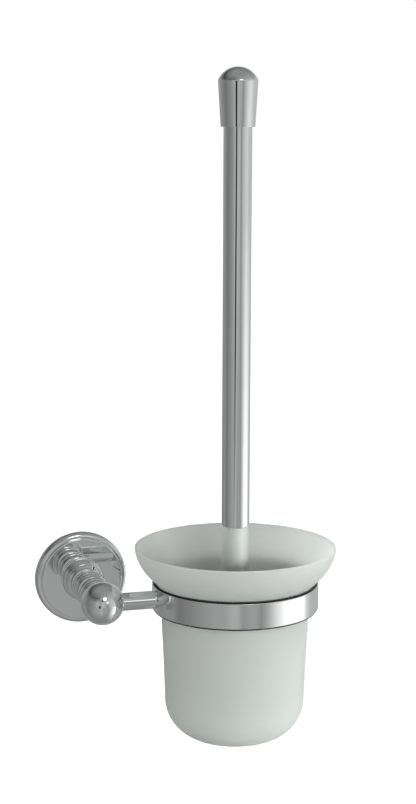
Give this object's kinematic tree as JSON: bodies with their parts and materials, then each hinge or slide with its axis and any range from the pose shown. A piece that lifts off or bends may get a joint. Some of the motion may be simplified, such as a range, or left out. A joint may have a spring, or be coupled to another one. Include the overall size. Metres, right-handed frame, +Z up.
{
  "type": "toilet brush holder",
  "caption": "Wall-mounted toilet brush holder: a ring on a stepped rose and turned post holds a flared satin glass cup, and a long-handled brush stands in it.",
  "frame": {"origin": "centre of the wall plate's back face, on the wall", "axes": "+Y into the wall, +X from the post towards the cup, +Z up"},
  "size_m": [0.1738, 0.1259, 0.4078],
  "materials": {
    "chrome": "mirror polished",
    "zinc_plated_steel": "zinc plated",
    "black_steel": "black oxide",
    "rubber": "matt",
    "satin_glass": "satin etched",
    "bush_nylon": "matt",
    "core_plastic": "satin",
    "bristle": "soft"
  },
  "bodies": {
    "wall_holder": {"wall_plate": "zinc_plated_steel", "rose": "chrome", "post_foot": "chrome", "foot_grub_screw": "black_steel", "post_stem": "chrome", "tie_bolt": "zinc_plated_steel", "tie_bolt_washer": "zinc_plated_steel", "ball_end": "chrome", "arm_grub_screw": "black_steel", "support_arm": "chrome", "holder_ring": "chrome", "ring_screw": "zinc_plated_steel", "ring_liner": "rubber"},
    "cup": {"glass_bowl": "satin_glass", "glass_flare": "satin_glass"},
    "brush": {"handle_tube": "chrome", "handle_cap": "chrome", "cap_stud": "zinc_plated_steel", "upper_bush": "bush_nylon", "lower_bush": "bush_nylon", "head_stud": "zinc_plated_steel", "brush_core": "core_plastic", "bristle_row_1": "bristle", "bristle_row_2": "bristle", "bristle_row_3": "bristle", "bristle_row_4": "bristle", "bristle_row_5": "bristle", "bristle_row_6": "bristle", "end_tuft": "bristle"}
  },
  "joints": [
    {"name": "cup_lift", "type": "slide", "parent": "wall_holder", "child": "cup", "axis": [0, 0, 1], "range_m": [0, 0.11]},
    {"name": "brush_lift", "type": "slide", "parent": "cup", "child": "brush", "axis": [0, 0, 1], "range_m": [0, 0.125]}
  ]
}
